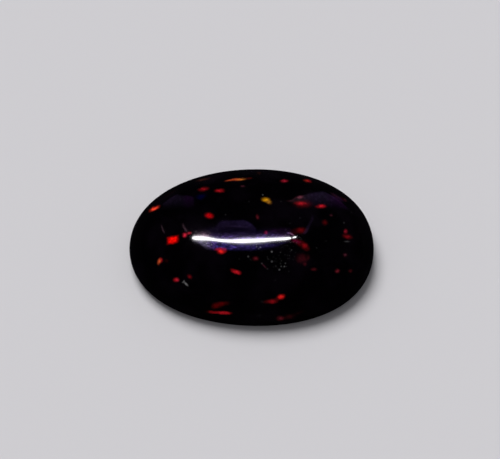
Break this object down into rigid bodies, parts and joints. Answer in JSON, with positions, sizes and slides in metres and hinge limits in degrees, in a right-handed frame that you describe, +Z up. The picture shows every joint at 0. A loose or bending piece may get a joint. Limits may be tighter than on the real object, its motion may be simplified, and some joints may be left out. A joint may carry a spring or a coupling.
{
  "type": "black opal cabochon",
  "caption": "Polished oval cabochon of black opal with a domed face, a flat back and scattered red flashes; a loose gemstone for setting or display.",
  "frame": {"origin": "middle of the flat back, on the surface that the stone rests on", "axes": "+X along the long axis of the oval towards its blunter end, +Y across it away from the picture's camera, +Z up through the crown of the dome"},
  "size_m": [0.014, 0.01, 0.0044],
  "materials": {
    "polished_opal": "high polish, near-black body with scattered red, orange and a few yellow flashes of colour"
  },
  "bodies": {
    "root": {"opal_stone": "polished_opal"}
  },
  "joints": []
}
